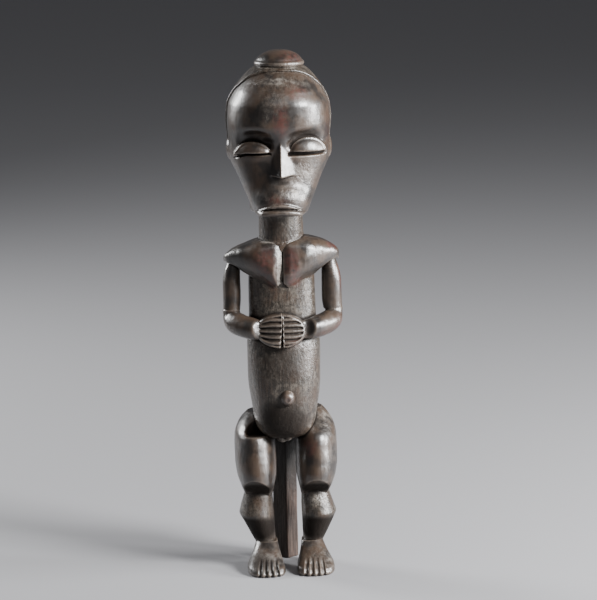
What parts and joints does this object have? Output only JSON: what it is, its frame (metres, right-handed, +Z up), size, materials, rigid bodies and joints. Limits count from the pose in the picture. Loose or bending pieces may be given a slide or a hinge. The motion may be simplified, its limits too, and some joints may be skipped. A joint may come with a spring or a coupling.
{
  "type": "carved standing figure",
  "caption": "Standing carved wooden figure with a domed head, topknot and hair cap, hands joined on the belly, bent legs and a square post behind them; it stands free.",
  "frame": {"origin": "on the floor, under the middle of the bounding box", "axes": "+Z up along the figure's height; the figure faces -Y, and its left side is towards +X"},
  "size_m": [0.0908, 0.079, 0.4],
  "materials": {
    "polished_patina": "hand-rubbed, oiled dark patina with red-brown worn areas, glossy",
    "matt_patina": "dark patina with a pitted grey-brown crust, satin",
    "worn_wood": "dry, unpolished red-brown wood with open grain, matt"
  },
  "bodies": {
    "root": {"chest": "polished_patina", "head": "polished_patina", "left_ear": "polished_patina", "left_foot": "polished_patina", "left_forearm": "polished_patina", "left_hand": "polished_patina", "left_thigh": "polished_patina", "left_upper_arm": "polished_patina", "navel": "polished_patina", "right_ear": "polished_patina", "right_foot": "polished_patina", "right_forearm": "polished_patina", "right_hand": "polished_patina", "right_thigh": "polished_patina", "right_upper_arm": "polished_patina", "topknot": "polished_patina", "coiffure": "matt_patina", "left_calf": "matt_patina", "neck": "matt_patina", "right_calf": "matt_patina", "trunk": "matt_patina", "rear_post": "worn_wood"}
  },
  "joints": []
}
